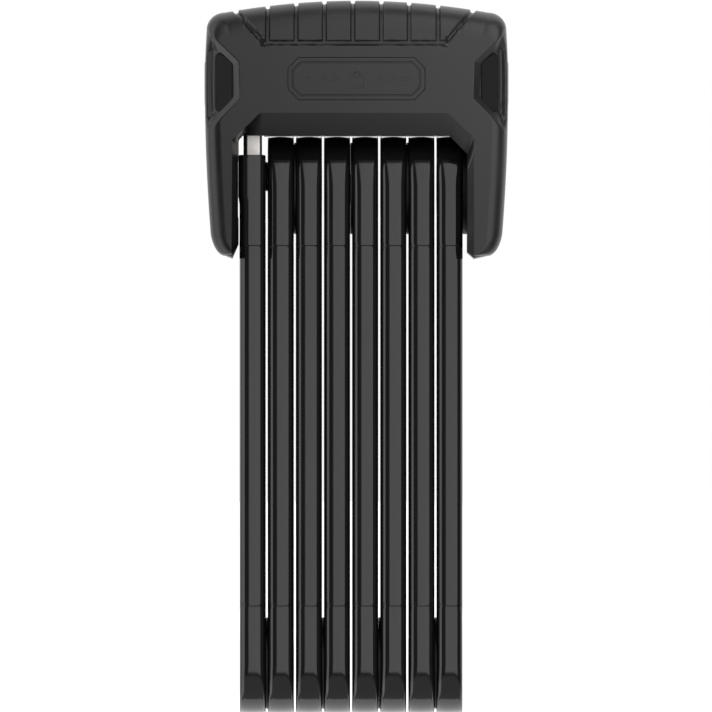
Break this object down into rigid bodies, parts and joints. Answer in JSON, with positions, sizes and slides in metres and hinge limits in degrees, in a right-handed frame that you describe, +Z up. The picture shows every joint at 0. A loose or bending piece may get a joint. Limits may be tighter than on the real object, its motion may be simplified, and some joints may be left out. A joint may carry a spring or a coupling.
{
  "type": "folding bike lock",
  "caption": "Folding bicycle lock: riveted coated steel bars folded zigzag under a moulded lock body with a key cylinder, sliding deadbolt and a steel tongue.",
  "frame": {"origin": "under the middle of the lock body, on the plane that the lower bar ends touch", "axes": "+Z up along the bars, front of the lock body towards -Y, keyhole on the +X side"},
  "size_m": [0.0842, 0.042, 0.1978],
  "materials": {
    "housing": "fine-grained soft-touch moulding, nearly black",
    "bar_coating": "smooth glossy black coating",
    "steel": "hardened steel, lengthwise brushing",
    "rivet_steel": "dark blued steel",
    "brass": "turned brass",
    "black_rubber": "matt black rubber"
  },
  "bodies": {
    "lock_body": {"front_cover": "housing", "rear_cover": "housing", "lock_case": "steel", "pivot_arm": "steel", "guard_arm": "steel", "cylinder_body": "brass", "cylinder_retaining_pin": "steel", "rivet_body": "rivet_steel", "joint_disc_body": "black_rubber", "keyhole_rosette": "housing", "blank_cap": "housing", "badge_panel": "housing", "side_grip_left": "black_rubber", "side_grip_right": "black_rubber", "cover_screws": "rivet_steel"},
    "bar_8": {"bar_8_core": "steel", "bar_8_sleeve": "bar_coating", "bar_8_end_caps": "bar_coating", "rivet_7_8": "rivet_steel", "joint_disc_7_8": "black_rubber"},
    "bar_7": {"bar_7_core": "steel", "bar_7_sleeve": "bar_coating", "bar_7_end_caps": "bar_coating", "rivet_6_7": "rivet_steel", "joint_disc_6_7": "black_rubber"},
    "bar_6": {"bar_6_core": "steel", "bar_6_sleeve": "bar_coating", "bar_6_end_caps": "bar_coating", "rivet_5_6": "rivet_steel", "joint_disc_5_6": "black_rubber"},
    "bar_5": {"bar_5_core": "steel", "bar_5_sleeve": "bar_coating", "bar_5_end_caps": "bar_coating", "rivet_4_5": "rivet_steel", "joint_disc_4_5": "black_rubber"},
    "bar_4": {"bar_4_core": "steel", "bar_4_sleeve": "bar_coating", "bar_4_end_caps": "bar_coating", "rivet_3_4": "rivet_steel", "joint_disc_3_4": "black_rubber"},
    "bar_3": {"bar_3_core": "steel", "bar_3_sleeve": "bar_coating", "bar_3_end_caps": "bar_coating", "rivet_2_3": "rivet_steel", "joint_disc_2_3": "black_rubber"},
    "bar_2": {"bar_2_core": "steel", "bar_2_sleeve": "bar_coating", "bar_2_end_caps": "bar_coating", "rivet_1_2": "rivet_steel", "joint_disc_1_2": "black_rubber"},
    "bar_1": {"bar_1_core": "steel", "bar_1_sleeve": "bar_coating", "bar_1_end_caps": "bar_coating"},
    "key_cylinder": {"cylinder_plug": "brass", "detainer_discs": "brass", "sidebar": "brass", "drive_cam": "steel"},
    "deadbolt": {"deadbolt": "steel", "bolt_follower_pin": "steel"},
    "keyhole_flap": {"keyhole_flap": "housing"}
  },
  "joints": [
    {"name": "hinge_body_8", "type": "hinge", "parent": "lock_body", "child": "bar_8", "pos_m": [0.0297, 0, 0.1459], "axis": [-1, 0, 0], "range_deg": [0, 75]},
    {"name": "hinge_7_8", "type": "hinge", "parent": "bar_8", "child": "bar_7", "pos_m": [0.0219, 0, 0.0141], "axis": [-1, 0, 0], "range_deg": [0, 196.15]},
    {"name": "hinge_6_7", "type": "hinge", "parent": "bar_7", "child": "bar_6", "pos_m": [0.0141, 0, 0.1459], "axis": [-1, 0, 0], "range_deg": [0, 90]},
    {"name": "hinge_5_6", "type": "hinge", "parent": "bar_6", "child": "bar_5", "pos_m": [0.0063, 0, 0.0141], "axis": [-1, 0, 0], "range_deg": [0, 172]},
    {"name": "hinge_4_5", "type": "hinge", "parent": "bar_5", "child": "bar_4", "pos_m": [-0.0015, 0, 0.1459], "axis": [-1, 0, 0], "range_deg": [0, 90]},
    {"name": "hinge_3_4", "type": "hinge", "parent": "bar_4", "child": "bar_3", "pos_m": [-0.0093, 0, 0.0141], "axis": [-1, 0, 0], "range_deg": [0, 180]},
    {"name": "hinge_2_3", "type": "hinge", "parent": "bar_3", "child": "bar_2", "pos_m": [-0.0171, 0, 0.1459], "axis": [-1, 0, 0], "range_deg": [0, 90]},
    {"name": "hinge_1_2", "type": "hinge", "parent": "bar_2", "child": "bar_1", "pos_m": [-0.0249, 0, 0.0141], "axis": [-1, 0, 0], "range_deg": [0, 186.85]},
    {"name": "key_turn", "type": "hinge", "parent": "lock_body", "child": "key_cylinder", "pos_m": [0.036, 0, 0.175], "axis": [1, 0, 0], "range_deg": [0, 90]},
    {"name": "bolt_slide", "type": "slide", "parent": "lock_body", "child": "deadbolt", "axis": [-1, 0, 0], "range_m": [0, 0.008]},
    {"name": "flap_hinge", "type": "hinge", "parent": "lock_body", "child": "keyhole_flap", "pos_m": [0.04155, -0.00175, 0.175], "axis": [0, 0, 1], "range_deg": [0, 85], "stiffness_Nm_per_rad": 0.0005, "springref_deg": -17.19}
  ],
  "couplings": [
    {"joint": "key_turn", "follows": "bolt_slide", "rad_per_m": 196.35}
  ]
}
